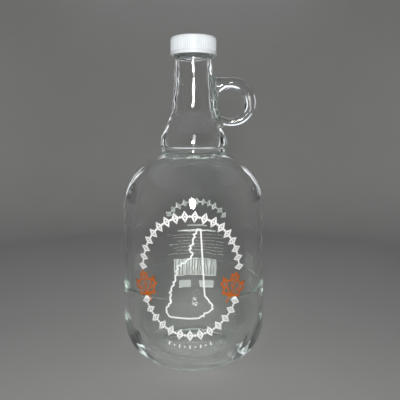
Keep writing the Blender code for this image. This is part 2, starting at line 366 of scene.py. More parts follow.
# %% [markdown]
# ## The outside of the glass
# A bottle is a solid of revolution, so its half outline is drawn once and spun about the axis. The
# outline starts at the middle of the underside and climbs the outside to the lip. Round stretches are
# arcs and the neck is a formula. The few tight corners are left sharp here and rounded afterwards.
# %% Sizes of the outside, in millimetres
INK_ABOVE = 0.05                           # how far the printed enamel stands above the glass
BODY_RADIUS = 52.0
FOOT_RADIUS = jug_high.y / MM - INK_ABOVE  # the enamel on the foot then just reaches the frame's size
LEDGE_Z = 58.6
LEDGE_DEPTH = 0.8
LEDGE_RISE = 0.4
FOOT_TAPER_Z = 50.0
HEEL_WIDTH = 23.1
HEEL_HEIGHT = 29.3
BEARING_WIDTH = 3.0
KICK_HEIGHT = 3.5                          # how far the middle of the underside is pushed up
SHOULDER_Z = 113.6
SHOULDER_RADIUS = 42.3
SHOULDER_CENTRE = BODY_RADIUS - SHOULDER_RADIUS
GROOVE_RADIUS = 23.5
GROOVE_Z = 157.2
BEAD_RADIUS = 24.7
BEAD_Z = 160.4
FLARE_TOP_Z = 187.0
FLARE_WIDTH = 7.1
NECK_TOP_Z = 220.4
NECK_TOP_RADIUS = 13.5
NECK_TAPER = 0.068
TRANSFER_RADIUS = 15.05
TRANSFER_Z = 222.5
TRANSFER_HALF = 1.8
FINISH_RADIUS = 13.3
LIP_Z = jug_high.z / MM
LIP_ROUND = 0.9
print("glass", BODY_RADIUS * 2, "mm across the body and", round(LIP_Z, 1), "mm high")


def smoothstep(start, end, value):
    """0 at start, 1 at end, level at both."""
    t = np.clip((value - start) / (end - start), 0.0, 1.0)
    return t * t * (3.0 - 2.0 * t)


def neck_radius(z):
    """Outer radius of the neck: a slight taper, with a flare added towards the bead."""
    return NECK_TOP_RADIUS + NECK_TAPER * (NECK_TOP_Z - z) + FLARE_WIDTH * smoothstep(FLARE_TOP_Z, BEAD_Z, z)


def arc(centre, half_width, half_height, first, last, steps):
    """Points on an ellipse from angle first to angle last, in degrees."""
    angles = [math.radians(first + (last - first) * i / steps) for i in range(steps + 1)]
    return [(centre[0] + half_width * math.cos(a), centre[1] + half_height * math.sin(a)) for a in angles]


def climb(radius_at, first, last, steps):
    """Points at even heights after first up to last, with their radius from a function."""
    heights = [first + (last - first) * i / steps for i in range(1, steps + 1)]
    return [(radius_at(z), z) for z in heights]


# %% [markdown]
# Each stretch of the outline is named for its part of the bottle. Where the finger loop will meet the
# neck, the rows of points are close together, so that the joint can be shaped finely later.
# %% The outline of the outside
DOME_SHARES = (0.0, 0.2, 0.4, 0.6, 0.8, 1.0)   # where a shallow dome has a point, from its middle to its edge
STRAIGHT_END = 4.0                         # the straight wall's last row lies this far below the shoulder
JOINT_ROWS_LOW = 170.0
JOINT_ROWS_HIGH = 214.0
LIP_FOOT = 0.5                             # and the finish's last row this far below the lip's round

bearing_outer = FOOT_RADIUS - HEEL_WIDTH
bearing_inner = bearing_outer - BEARING_WIDTH
shoulder_end = math.degrees(math.acos((GROOVE_RADIUS - SHOULDER_CENTRE) / SHOULDER_RADIUS))
wall_top = LIP_Z - LIP_ROUND

push_up = [(bearing_inner * share, KICK_HEIGHT * (1.0 - share ** 2)) for share in DOME_SHARES]
heel = arc((bearing_outer, HEEL_HEIGHT), HEEL_WIDTH, HEEL_HEIGHT, first=-90.0, last=0.0, steps=26)
foot = climb(lambda z: FOOT_RADIUS, HEEL_HEIGHT, FOOT_TAPER_Z, steps=5)
ledge = [(BODY_RADIUS + LEDGE_DEPTH, LEDGE_Z - LEDGE_RISE), (BODY_RADIUS, LEDGE_Z)]
body = climb(lambda z: BODY_RADIUS, LEDGE_Z, SHOULDER_Z - STRAIGHT_END, steps=10)
shoulder = arc((SHOULDER_CENTRE, SHOULDER_Z), SHOULDER_RADIUS, SHOULDER_RADIUS,
               first=0.0, last=shoulder_end, steps=38)
groove = [(GROOVE_RADIUS, GROOVE_Z)]
bead = arc((GROOVE_RADIUS, BEAD_Z), BEAD_RADIUS - GROOVE_RADIUS, BEAD_Z - GROOVE_Z,
           first=-60.0, last=0.0, steps=6)
neck = climb(neck_radius, BEAD_Z, JOINT_ROWS_LOW, steps=10)
neck += climb(neck_radius, JOINT_ROWS_LOW, JOINT_ROWS_HIGH, steps=60)
neck += climb(neck_radius, JOINT_ROWS_HIGH, NECK_TOP_Z, steps=4)
transfer = arc((FINISH_RADIUS, TRANSFER_Z), TRANSFER_RADIUS - FINISH_RADIUS, TRANSFER_HALF,
               first=-50.0, last=90.0, steps=12)
finish = climb(lambda z: FINISH_RADIUS, TRANSFER_Z + TRANSFER_HALF, wall_top - LIP_FOOT, steps=8)
lip = arc((FINISH_RADIUS - LIP_ROUND, wall_top), LIP_ROUND, LIP_ROUND, first=0.0, last=90.0, steps=6)
outside = push_up + heel + foot + ledge + body + shoulder + groove + bead + neck + transfer + finish + lip
outside.append((0.0, LIP_Z))
print(len(outside), "points in the outline")

# %% [markdown]
# A line is drawn as by hand: a single vertex is extruded from point to point. Tight corners get a vertex
# bevel while the outline is still a line, because that rounds them all the way round once it is spun.
# Points that the spin leaves on top of each other, at the axis and at the seam, are merged.
# %% Draw an outline and spin it
COLUMNS = 160
MERGE = 0.001


def draw_line(name, points):
    """A chain of edges through (across, up) points in millimetres, in the XZ plane, vertex by vertex."""
    deselect_all()
    bpy.ops.mesh.primitive_plane_add(size=MM, location=(0.0, 0.0, 0.0))
    line = bpy.context.active_object
    line.name = name
    edit(line)
    bpy.ops.mesh.select_mode(type="VERT")
    bpy.ops.mesh.select_all(action="SELECT")
    bpy.ops.mesh.merge(type="CENTER")
    bpy.ops.transform.translate(value=(points[0][0] * MM, 0.0, points[0][1] * MM))
    for here, there in zip(points, points[1:]):
        step = ((there[0] - here[0]) * MM, 0.0, (there[1] - here[1]) * MM)
        bpy.ops.mesh.extrude_vertices_move(TRANSFORM_OT_translate={"value": step})
    leave_edit()
    return line


def round_corner(line, corner, size, steps=4):
    """Rounds the corner of a drawn line that lies at a point, and says how many corners it found there."""
    edit(line)
    found = pick_verts(line, lambda p: math.hypot(p.x - corner[0], p.z - corner[1]) < SAME_PLACE)
    bpy.ops.mesh.bevel(offset=size * MM, segments=steps, affect="VERTICES")
    leave_edit()
    return found


def spin(line):
    """Turns a drawn line about the Z axis into a closed skin whose faces point out."""
    edit(line)
    bpy.ops.mesh.select_all(action="SELECT")
    bpy.ops.mesh.spin(steps=COLUMNS, angle=math.tau, center=(0.0, 0.0, 0.0), axis=(0.0, 0.0, 1.0))
    bpy.ops.mesh.select_all(action="SELECT")
    bpy.ops.mesh.remove_doubles(threshold=MERGE * MM)
    bpy.ops.mesh.normals_make_consistent(inside=False)
    leave_edit()


glass = draw_line("glass_jug", outside)
corners = [                                # each with the size of its round
    ((bearing_inner, 0.0), 1.0),
    (ledge[0], 0.3),
    (ledge[1], 0.3),
    (shoulder[-1], 1.1),
    (groove[0], 0.4),
    (neck[-1], 0.5),
    (transfer[-1], 0.4),
]
print("corners rounded:", sum(round_corner(glass, corner, size) for corner, size in corners))
spin(glass)
print("outside", triangles(glass), "triangles")

# %% [markdown]
# ## The inside of the glass
# A blown jug's outside is shaped by the mould, but its inside only by air, so the wall is never quite
# even: the inner surface undulates by one or two tenths of a millimetre. That unevenness is what bends
# and breaks up the things seen through real glass. The inside is drawn and spun as a solid of its own,
# made wavy by a Displace modifier, and is cut out later.
# %% The outline of the inside
BODY_WALL = 3.1
BORE_RADIUS = 10.8
BORE_START_Z = 212.4
BORE_END = 6.0                             # the bore's last row lies this far below the lip
FLOOR_Z = 7.0
FLOOR_RISE = 2.5
FLOOR_POWER = 1.5                          # the floor's dome is more pointed than the underside's
INNER_HEEL_WIDTH = 19.5
INNER_HEEL_HEIGHT = 27.0
INNER_NECK_RADIUS = 20.4
INNER_NECK_Z = 164.0
INNER_CORNER_ROUND = 1.2
CUT_PAST = 5.0                             # the cutter sticks out of the mouth, so that it cuts clean through

inner_body = BODY_RADIUS - BODY_WALL
inner_shoulder = SHOULDER_RADIUS - BODY_WALL
floor_edge = inner_body - INNER_HEEL_WIDTH
inner_end = math.degrees(math.acos((INNER_NECK_RADIUS - SHOULDER_CENTRE) / inner_shoulder))

inside = [(floor_edge * share, FLOOR_Z + FLOOR_RISE * (1.0 - share ** FLOOR_POWER))
          for share in DOME_SHARES[:-1]]
inside += arc((floor_edge, FLOOR_Z + INNER_HEEL_HEIGHT), INNER_HEEL_WIDTH, INNER_HEEL_HEIGHT,
              first=-90.0, last=0.0, steps=26)
inside += climb(lambda z: inner_body, FLOOR_Z + INNER_HEEL_HEIGHT, SHOULDER_Z - STRAIGHT_END, steps=20)
inside += arc((SHOULDER_CENTRE, SHOULDER_Z), inner_shoulder, inner_shoulder,
              first=0.0, last=inner_end, steps=30)
inner_corner = inside[-1]
inside += climb(lambda z: neck_radius(z) - BODY_WALL, INNER_NECK_Z, FLARE_TOP_Z, steps=14)
taper_radius, taper_z = inside[-1]
taper = (BORE_RADIUS - taper_radius) / (BORE_START_Z - taper_z)
inside += climb(lambda z: taper_radius + taper * (z - taper_z), taper_z, BORE_START_Z, steps=10)
inside += [(BORE_RADIUS, LIP_Z - BORE_END), (BORE_RADIUS, LIP_Z + CUT_PAST), (0.0, LIP_Z + CUT_PAST)]

cavity = draw_line("cavity", inside)
round_corner(cavity, inner_corner, INNER_CORNER_ROUND, steps=5)
spin(cavity)
print("inside", triangles(cavity), "triangles")

# %% [markdown]
# The waves come from a Clouds texture. An empty, scaled up along Z, is the frame in which the texture is
# read. So the waves are longer up and down than round the jug, because the hot glass is drawn out
# downwards before air presses it into the mould.
# %% Waves in the wall
WAVE_LENGTH = 15.0
WAVE_STRETCH = 2.5
WAVE_HEIGHT = 0.45                         # from the texture's black to its white, which it seldom reaches

bpy.ops.object.empty_add(location=(0.0, 0.0, 0.0))
wave_frame = bpy.context.active_object
wave_frame.scale = (1.0, 1.0, WAVE_STRETCH)
waves = bpy.data.textures.new("wall_waves", "CLOUDS")
waves.noise_scale = WAVE_LENGTH * MM
waves.noise_depth = 1
displace = cavity.modifiers.new("waves", "DISPLACE")
displace.texture = waves
displace.texture_coords = "OBJECT"
displace.texture_coords_object = wave_frame
displace.strength = WAVE_HEIGHT * MM
displace.mid_level = 0.5
bpy.context.view_layer.update()
apply_modifier(cavity, displace)
bpy.data.objects.remove(wave_frame)
print("waves", WAVE_LENGTH, "mm round the jug and", WAVE_LENGTH * WAVE_STRETCH, "mm up it")

# %% [markdown]
# ## The finger loop
# The loop is a ring of solid glass rod with a level arm at its top. The hole sits a little lower and
# nearer to the neck than the ring's outline does, so the rod is thickest up and away from the neck. A
# torus is the natural start: each of its rod's rings is then scaled about its own middle.
# %% The ring
LOOP_X = 28.1
LOOP_Z = 190.0
LOOP_OUTER_RADIUS = 17.6
HOLE_X = 26.9
HOLE_Z = 188.9
HOLE_RADIUS = 10.5
LOOP_STEPS = 128
ROD_STEPS = 32
ROD_X = (LOOP_X + HOLE_X) / 2
ROD_Z = (LOOP_Z + HOLE_Z) / 2
ROD_PATH_RADIUS = (LOOP_OUTER_RADIUS + HOLE_RADIUS) / 2
ROD_MEAN_RADIUS = (LOOP_OUTER_RADIUS - HOLE_RADIUS) / 2
RING_REACH = 0.1                           # a rod's ring is picked if it lies this near its plane


def rod_radius(angle):
    """Radius of the rod at an angle round the ring, counted from +X towards +Z."""
    return ROD_MEAN_RADIUS + ((LOOP_X - HOLE_X) * np.cos(angle) + (LOOP_Z - HOLE_Z) * np.sin(angle)) / 2


deselect_all()
bpy.ops.mesh.primitive_torus_add(
    location=(ROD_X * MM, 0.0, ROD_Z * MM), rotation=(math.pi / 2, 0.0, 0.0), major_segments=LOOP_STEPS,
    minor_segments=ROD_STEPS, major_radius=ROD_PATH_RADIUS * MM, minor_radius=ROD_MEAN_RADIUS * MM)
loop = bpy.context.active_object
loop.name = "loop"
apply_all(loop)
edit(loop)
for step in range(LOOP_STEPS):
    angle = math.tau * step / LOOP_STEPS
    middle = Vector((ROD_X, 0.0, ROD_Z)) + Vector((math.cos(angle), 0.0, math.sin(angle))) * ROD_PATH_RADIUS
    along = Vector((-math.sin(angle), 0.0, math.cos(angle)))
    pick_verts(loop, lambda p: abs((p - middle).dot(along)) < RING_REACH
               and (p - middle).length < LOOP_OUTER_RADIUS)
    size = float(rod_radius(angle)) / ROD_MEAN_RADIUS
    bpy.ops.transform.resize(value=(size, size, size), center_override=middle * MM)
leave_edit()
print("loop", triangles(loop), "triangles")

# %% [markdown]
# The arm is a level cylinder from inside the neck to the top of the ring. It is a hair thinner than the
# rod, so that the two skins cross cleanly instead of lying on each other, and it is bisected every
# millimetre, because the joint is shaped later by moving its points.
# %% The arm
ARM_START_X = 6.0
ARM_RADIUS = ROD_MEAN_RADIUS + (LOOP_Z - HOLE_Z) / 2
ARM_Z = LOOP_Z + LOOP_OUTER_RADIUS - ARM_RADIUS
ARM_EASE = 0.98

deselect_all()
arm_length = LOOP_X - ARM_START_X
bpy.ops.mesh.primitive_cylinder_add(
    vertices=ROD_STEPS, radius=ARM_RADIUS * ARM_EASE * MM, depth=arm_length * MM,
    location=((ARM_START_X + arm_length / 2) * MM, 0.0, ARM_Z * MM), rotation=(0.0, math.pi / 2, 0.0))
arm = bpy.context.active_object
apply_all(arm)
edit(arm)
for x in range(int(ARM_START_X) + 1, int(LOOP_X)):
    bpy.ops.mesh.select_all(action="SELECT")
    bpy.ops.mesh.bisect(plane_co=(x * MM, 0.0, 0.0), plane_no=(1.0, 0.0, 0.0))
leave_edit()
print("arm", triangles(arm), "triangles")

# %% [markdown]
# ## The thread
# Under the cap, a round ridge of glass winds a little over once round the finish. It starts as a circle
# of the ridge's section, and the Screw modifier winds it up. Both ends are then pushed into the wall, a
# little less at each step away from the end, so that the ridge rises gently out of it.
# %% Wind the thread
THREAD_RADIUS = 0.75
THREAD_PITCH = 3.2
THREAD_TURNS = 1.3
THREAD_START_Z = 226.2
THREAD_SINK = 1.0
THREAD_FADE = 8                            # steps over which an end sinks
THREAD_SIDES = 12
STEPS_PER_TURN = 64
thread_steps = round(STEPS_PER_TURN * THREAD_TURNS)

deselect_all()
bpy.ops.mesh.primitive_circle_add(
    vertices=THREAD_SIDES, radius=THREAD_RADIUS * MM, rotation=(math.pi / 2, 0.0, 0.0),
    location=(FINISH_RADIUS * MM, 0.0, THREAD_START_Z * MM))
thread = bpy.context.active_object
thread.name = "thread"
apply_all(thread)
winding = thread.modifiers.new("winding", "SCREW")
winding.angle = math.tau * THREAD_TURNS
winding.screw_offset = THREAD_PITCH * THREAD_TURNS * MM
winding.steps = winding.render_steps = thread_steps
winding.use_merge_vertices = False
apply_modifier(thread, winding)
edit(thread)
bpy.ops.mesh.select_mode(type="VERT")
bpy.ops.mesh.select_non_manifold()
bpy.ops.mesh.edge_face_add()
bpy.ops.mesh.select_all(action="SELECT")
bpy.ops.mesh.normals_make_consistent(inside=False)
leave_edit()


def turn_of(p):
    """How many turns up the thread a point is."""
    whole = (p.z - THREAD_START_Z) / THREAD_PITCH
    part = math.atan2(p.y, p.x) / math.tau
    return part + round(whole - part)


edit(thread)
for step in range(THREAD_FADE):
    for turn in (step / STEPS_PER_TURN, THREAD_TURNS - step / STEPS_PER_TURN):
        pick_verts(thread, lambda p: abs(turn_of(p) - turn) < 0.25 / STEPS_PER_TURN)
        inward = Vector((math.cos(turn * math.tau), math.sin(turn * math.tau), 0.0)) * -MM
        bpy.ops.transform.translate(value=inward * THREAD_SINK * (1.0 - step / THREAD_FADE))
leave_edit()
print("thread", triangles(thread), "triangles")

# %% [markdown]
# ## One piece of glass
# Boolean modifiers weld loop, arm and thread to the outside and then cut the inside out. The Exact
# solver takes closed skins that cross cleanly, and these do. Where two skins cross close to a corner, it
# leaves slivers thinner than a hair, which are merged away. A copy of the plain outside is kept first:
# it is what the decoration is wrapped round later.
# %% Weld and hollow out
SLIVER = 0.02


def combine(target, other, operation):
    """Applies one exact Boolean and deletes the other solid."""
    boolean = target.modifiers.new(operation.lower(), "BOOLEAN")
    boolean.object = other
    boolean.operation = operation
    boolean.solver = "EXACT"
    apply_modifier(target, boolean)
    bpy.data.objects.remove(other)


blank = glass.copy()
blank.data = glass.data.copy()
blank.name = "blank"
bpy.context.scene.collection.objects.link(blank)

combine(loop, arm, "UNION")
combine(glass, loop, "UNION")
combine(glass, thread, "UNION")
combine(glass, cavity, "DIFFERENCE")

edit(glass)
bpy.ops.mesh.select_all(action="SELECT")
bpy.ops.mesh.remove_doubles(threshold=SLIVER * MM)
bpy.ops.mesh.dissolve_degenerate(threshold=SLIVER * MM)
leave_edit()
print("jug", triangles(glass), "triangles")

# %% [markdown]
# ## Soften the joint
# Hot glass never meets in a sharp corner: where the rod enters the neck, a fillet a few millimetres
# wide runs round the joint. No bevel follows such a seam well, so this is done with numbers. Each point
# near the seam is moved along the slope of a field that blends the distances from neck and loop, until
# it lies on the blended surface, and is evened out between moves.
# %% Blend the loop into the neck
FILLET = 4.0
JOINT_LOW_Z = 165.0
JOINT_HIGH_Z = 216.4
JOINT_DEPTH = 1.0                          # deeper points belong to the inside of the glass
PROBE = 0.25                               # how far to either side a slope is measured
SETTLE_STEPS = 6


def neck_distance(p):
    """Distance from the outside of the neck, negative inside it. Points are rows of millimetres."""
    slope = neck_radius(p[:, 2] - 0.5) - neck_radius(p[:, 2] + 0.5)
    return (np.hypot(p[:, 0], p[:, 1]) - neck_radius(p[:, 2])) / np.hypot(1.0, slope)


def loop_distance(p):
    """Distance from the ring and its arm, negative inside them."""
    x, z = p[:, 0] - ROD_X, p[:, 2] - ROD_Z
    ring = np.hypot(np.hypot(x, z) - ROD_PATH_RADIUS, p[:, 1]) - rod_radius(np.arctan2(z, x))
    beyond = np.maximum(np.maximum(p[:, 0] - LOOP_X, ARM_START_X - p[:, 0]), 0.0)
    level = np.sqrt(beyond ** 2 + p[:, 1] ** 2 + (p[:, 2] - ARM_Z) ** 2) - ARM_RADIUS
    return np.minimum(ring, level)


def blended_distance(p):
    """The smaller of the two distances, with the corner between them drawn out into a fillet."""
    a, b = neck_distance(p), loop_distance(p)
    overlap = np.maximum(FILLET - np.abs(a - b), 0.0) / FILLET
    return np.minimum(a, b) - overlap ** 2 * FILLET / 4.0


def settle(p):
    """Moves points along the field's slope until they lie on the blended surface."""
    for _ in range(SETTLE_STEPS):
        rise = blended_distance(p)
        slope = np.stack([blended_distance(p + step) - blended_distance(p - step)
                          for step in np.eye(3) * PROBE], axis=1) / (2.0 * PROBE)
        p = p - slope * (rise / np.maximum((slope ** 2).sum(axis=1), 0.1))[:, None]
    return p


def read_points(obj):
    """The object's vertices as rows of millimetres."""
    points = np.empty(len(obj.data.vertices) * 3)
    obj.data.vertices.foreach_get("co", points)
    return points.reshape(-1, 3) / MM


def near_joint(p, reach):
    """True for points of the outer surface that lie this near to both neck and loop."""
    a, b = neck_distance(p), loop_distance(p)
    outer = (np.minimum(a, b) > -JOINT_DEPTH) & (p[:, 2] > JOINT_LOW_Z) & (p[:, 2] < JOINT_HIGH_Z)
    return outer & (np.maximum(a, b) < reach)


def pick_numbered(obj, chosen):
    """In edit mode: selects the vertices whose number is marked True."""
    bpy.ops.mesh.select_all(action="DESELECT")
    bpy.ops.mesh.select_mode(type="VERT")
    cage = bmesh.from_edit_mesh(obj.data)
    for vert in cage.verts:
        vert.select = bool(chosen[vert.index])
    cage.select_flush(True)
    bmesh.update_edit_mesh(obj.data)


def settle_joint(obj):
    """Settles the points near the joint. Gives all the points, and True for those it moved."""
    points = read_points(obj)
    chosen = near_joint(points, FILLET)
    points[chosen] = settle(points[chosen])
    obj.data.vertices.foreach_set("co", (points * MM).ravel())
    obj.data.update()
    return points, chosen


def pick_folded(obj):
    """In edit mode: selects faces that a merge has folded back to back onto the same corners."""
    bpy.ops.mesh.select_all(action="DESELECT")
    bpy.ops.mesh.select_mode(type="FACE")
    cage = bmesh.from_edit_mesh(obj.data)
    on_corners = {}
    for face in cage.faces:
        on_corners.setdefault(frozenset(vert.index for vert in face.verts), []).append(face)
    folded = [face for faces in on_corners.values() if len(faces) > 1 for face in faces]
    for face in folded:
        face.select = True
    bmesh.update_edit_mesh(obj.data)
    return len(folded)


print("fillet", FILLET, "mm wide")

# %% [markdown]
# The seam itself is a crowd of tiny edges, so points right beside it are merged first. Then come a few
# rounds of settling and smoothing, and a last settling. What the rounds have brought together or folded
# is cleaned away at the end.
# %% Run the fillet round the joint
SEAM_REACH = 0.6
SEAM_MERGE = 0.22
ROUNDS = 4
GLASS_SMOOTH_ANGLE = 50.0                  # degrees: sharper edges than this stay crisp

edit(glass)
pick_numbered(glass, near_joint(read_points(glass), FILLET))
bpy.ops.mesh.quads_convert_to_tris()
leave_edit()
edit(glass)
pick_numbered(glass, near_joint(read_points(glass), SEAM_REACH))
bpy.ops.mesh.remove_doubles(threshold=SEAM_MERGE * MM)
leave_edit()
for _ in range(ROUNDS):
    points, chosen = settle_joint(glass)
    edit(glass)
    pick_numbered(glass, chosen & (np.abs(neck_distance(points) - loop_distance(points)) < FILLET))
    bpy.ops.mesh.vertices_smooth(factor=0.5, repeat=2)
    leave_edit()
points, chosen = settle_joint(glass)
edit(glass)
pick_numbered(glass, chosen)
bpy.ops.mesh.remove_doubles(threshold=SLIVER * MM)
print("folded faces:", pick_folded(glass))
bpy.ops.mesh.delete(type="FACE")
leave_edit()
make_active(glass)
bpy.ops.object.shade_smooth_by_angle(angle=math.radians(GLASS_SMOOTH_ANGLE))
print("softened", int(chosen.sum()), "points; jug", triangles(glass), "triangles")

# %% [markdown]
# ## Clear glass
# Soda-lime glass is colourless in a thin wall and grey-green where light runs a long way in it, as in
# the heel. So the surface itself is clear and the colour sits in the volume, which takes it from light
# by the distance travelled. The mould's skin leaves a very faint ripple on the surface, which is stronger
# on the neck and the loop, because they come out the most uneven. Rays that look for a lamp can't bend,
# so for those alone the glass counts as clear, and the enamel behind it is lit.
# %% Flint glass
GLASS_IOR = 1.52
GLASS_ABSORB = 2.5                         # per metre
GLASS_TINT = "#A9D8C4"
RIPPLE_SIZE = 8.0
RIPPLE_HEIGHT = 0.2
RIPPLE_BODY = 0.4                          # how strongly the ripple shows on the body
RIPPLE_NECK = 2.6                          # and on the neck
RIPPLE_GROWS_FROM_Z = 150.0
RIPPLE_GROWS_TO_Z = 175.0
SHADOW_TINT = "#D6DAD7"                    # what one surface lets through of a lamp's light

flint_glass, tree, shader, output, place = new_material("flint_glass")
shader.inputs["Base Color"].default_value = (1.0, 1.0, 1.0, 1.0)
shader.inputs["Transmission Weight"].default_value = 1.0
shader.inputs["Roughness"].default_value = 0.0
shader.inputs["IOR"].default_value = GLASS_IOR
ripple = add_node(tree, "ShaderNodeTexNoise", {"Vector": place},
                  {"Scale": per_mm(RIPPLE_SIZE), "Detail": 1.0})
height = add_node(tree, "ShaderNodeSeparateXYZ", {"Vector": place}).outputs["Z"]
unevenness = add_node(tree, "ShaderNodeMapRange", {"Value": height}, {
    "From Min": RIPPLE_GROWS_FROM_Z * MM, "From Max": RIPPLE_GROWS_TO_Z * MM,
    "To Min": RIPPLE_BODY, "To Max": RIPPLE_NECK})
bump = add_node(tree, "ShaderNodeBump",
                {"Height": ripple.outputs["Fac"], "Strength": unevenness.outputs["Result"]},
                {"Distance": RIPPLE_HEIGHT * MM})
tree.links.new(bump.outputs["Normal"], shader.inputs["Normal"])
absorb = add_node(tree, "ShaderNodeVolumeAbsorption", None, {"Density": GLASS_ABSORB})
absorb.inputs["Color"].default_value = linear(GLASS_TINT)
tree.links.new(absorb.outputs["Volume"], output.inputs["Volume"])
ray = add_node(tree, "ShaderNodeLightPath")
clear = add_node(tree, "ShaderNodeBsdfTransparent", None, {"Color": linear(SHADOW_TINT)})
skin = add_node(tree, "ShaderNodeMixShader", {
    "Fac": ray.outputs["Is Shadow Ray"], 1: shader.outputs["BSDF"], 2: clear.outputs["BSDF"]})
tree.links.new(skin.outputs["Shader"], output.inputs["Surface"])
glass.data.materials.clear()
glass.data.materials.append(flint_glass)
print(glass.name, "is", flint_glass.name, "of IOR", GLASS_IOR)

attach(glass, "root")
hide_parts("jug")

# %% [markdown]
# ## The screw cap
# The cap is moulded polypropylene: a plain band round its open end, fine upright ribs to grip, and a
# rounded top edge. It is built like a stack of rings. A circle with four columns for each rib is
# extruded and resized again and again, over the top and, from the band, up the inside. Both stacks end
# in a tiny ring at the axis, which one face closes.
# %% Sizes of the cap
CAP_TOP_Z = cap_high.z / MM
CAP_BOTTOM_Z = cap_low.z / MM
BAND_RADIUS = cap_high.x / MM
CAP_RADIUS = 16.4
BAND_HEIGHT = 2.2
BAND_STEP = 0.3                            # the slope from the band in to the ribs is this high
BAND_ROUND = 0.3
BAND_EDGE_HEIGHT = 0.1                     # a small bevel along the band's top edge
BAND_EDGE_WIDTH = 0.04
RIB_COUNT = 76
RIB_COLUMNS = 4
RIB_DEPTH = 0.3
RIB_RUN = 0.35                             # the valleys fade out over this height
CAP_ROUND = 1.5
CAP_INNER_RADIUS = 15.4
CAP_INNER_TOP_Z = LIP_Z + 0.3              # the cap's underside clears the lip by a hair
RECESS_RADIUS = 12.6                       # the middle of the top lies a hair lower
RECESS_DEPTH = 0.12
RECESS_SLOPE = 0.3
MIDDLE_RING = 5.0                          # breaks up the long faces of the flat top
GATE_RADIUS = 1.3                          # where the plastic ran in
GATE_DEPTH = 0.2
GATE_SLOPE = 0.2
LAST_RING = 0.3
print("cap", BAND_RADIUS * 2, "mm across,", RIB_COUNT, "ribs")


def stack_rings(levels):
    """Extrudes the selected ring through (radius, height) levels, the first of which it is at."""
    for (radius, height), (new_radius, new_height) in zip(levels, levels[1:]):
        rise = (0.0, 0.0, (new_height - height) * MM)
        bpy.ops.mesh.extrude_edges_move(TRANSFORM_OT_translate={"value": rise})
        size = new_radius / radius
        bpy.ops.transform.resize(value=(size, size, 1.0), center_override=(0.0, 0.0, 0.0))


# %% [markdown]
# Two lists of levels describe the cap's wall, one up the outside and over the top, and one up the
# inside. Both start from the same ring at the foot of the band.
# %% Build the rings
band_top = CAP_BOTTOM_Z + BAND_HEIGHT
rib_foot = band_top + BAND_STEP
rib_head = CAP_TOP_Z - CAP_ROUND
recess_z = CAP_TOP_Z - RECESS_DEPTH
gate_z = recess_z - GATE_DEPTH

up_the_outside = arc((BAND_RADIUS - BAND_ROUND, CAP_BOTTOM_Z + BAND_ROUND), BAND_ROUND, BAND_ROUND,
                     first=-90.0, last=0.0, steps=4)
up_the_outside += [(BAND_RADIUS, band_top - BAND_EDGE_HEIGHT), (BAND_RADIUS - BAND_EDGE_WIDTH, band_top)]
up_the_outside += [(CAP_RADIUS, z) for z in (rib_foot, rib_foot + RIB_RUN, rib_head - RIB_RUN, rib_head)]
up_the_outside += arc((CAP_RADIUS - CAP_ROUND, rib_head), CAP_ROUND, CAP_ROUND, first=9.0, last=90.0, steps=9)
up_the_outside += [(RECESS_RADIUS + RECESS_SLOPE, CAP_TOP_Z), (RECESS_RADIUS, recess_z)]
up_the_outside += [(MIDDLE_RING, recess_z), (GATE_RADIUS + GATE_SLOPE, recess_z)]
up_the_outside += [(GATE_RADIUS, gate_z), (LAST_RING, gate_z)]

up_the_inside = [up_the_outside[0], (CAP_INNER_RADIUS + BAND_ROUND, CAP_BOTTOM_Z)]
up_the_inside += [(CAP_INNER_RADIUS, CAP_BOTTOM_Z + BAND_ROUND), (CAP_INNER_RADIUS, CAP_INNER_TOP_Z)]
up_the_inside += [(MIDDLE_RING, CAP_INNER_TOP_Z), (LAST_RING, CAP_INNER_TOP_Z)]

deselect_all()
start_radius, start_z = up_the_outside[0]
bpy.ops.mesh.primitive_circle_add(
    vertices=RIB_COUNT * RIB_COLUMNS, radius=start_radius * MM, location=(0.0, 0.0, start_z * MM))
cap = bpy.context.active_object
cap.name = "screw_cap"
apply_all(cap)
for levels in (up_the_outside, up_the_inside):
    edit(cap)
    pick_verts(cap, lambda p: math.hypot(p.z - start_z, p.xy.length - start_radius) < SAME_PLACE)
    bpy.ops.mesh.select_mode(type="EDGE")
    stack_rings(levels)
    bpy.ops.mesh.edge_face_add()
    leave_edit()
print("rings", triangles(cap), "triangles")

# %% [markdown]
# The valleys between the ribs are pushed in, two columns of every four, and only on the two rings in the
# middle of the ribbed wall. That gives each rib sloping sides and lets it fade out at both ends.
# %% Press in the valleys
VALLEY_COLUMNS = 2
CAP_SMOOTH_ANGLE = 32.0                    # degrees: sharper edges than this stay crisp


def in_valley(p):
    """True for points of the outer wall, between the ribs and away from their ends."""
    column = round(math.atan2(p.y, p.x) / math.tau * RIB_COUNT * RIB_COLUMNS) % RIB_COLUMNS
    on_ribs = rib_foot + RIB_RUN / 2 < p.z < rib_head - RIB_RUN / 2
    return on_ribs and p.xy.length > CAP_RADIUS - SAME_PLACE and column >= RIB_COLUMNS - VALLEY_COLUMNS


edit(cap)
pressed = pick_verts(cap, in_valley)
valley = (CAP_RADIUS - RIB_DEPTH) / CAP_RADIUS
bpy.ops.transform.resize(value=(valley, valley, 1.0), center_override=(0.0, 0.0, 0.0))
bpy.ops.mesh.select_all(action="SELECT")
bpy.ops.mesh.normals_make_consistent(inside=False)
leave_edit()
make_active(cap)
bpy.ops.object.shade_smooth_by_angle(angle=math.radians(CAP_SMOOTH_ANGLE))
print("cap", triangles(cap), "triangles,", pressed, "points pressed in")

